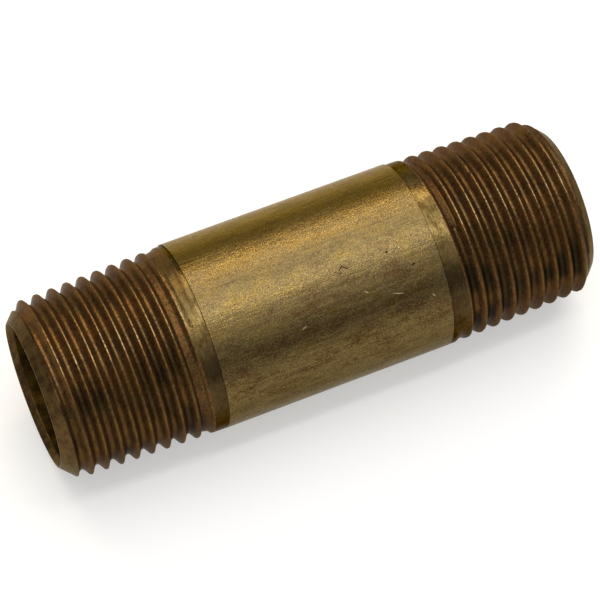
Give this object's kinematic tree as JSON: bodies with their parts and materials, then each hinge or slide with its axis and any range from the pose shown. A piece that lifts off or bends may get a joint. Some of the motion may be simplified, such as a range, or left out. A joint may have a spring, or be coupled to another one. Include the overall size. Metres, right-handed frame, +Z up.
{
  "type": "threaded pipe nipple",
  "caption": "Short brass pipe with a tapered male pipe thread on each end, a plain round barrel between them and a straight bore right through.",
  "frame": {"origin": "on the pipe's axis, half way between the two end faces", "axes": "+X along the pipe's axis towards end B, the end with the shorter thread seat; +Z up with the nipple lying on its side"},
  "size_m": [0.0508, 0.0172, 0.0172],
  "materials": {
    "brass": "drawn and die-cut, aged to a brown tarnish, darker in the threads"
  },
  "bodies": {
    "root": {"nipple_body": "brass"}
  },
  "joints": []
}
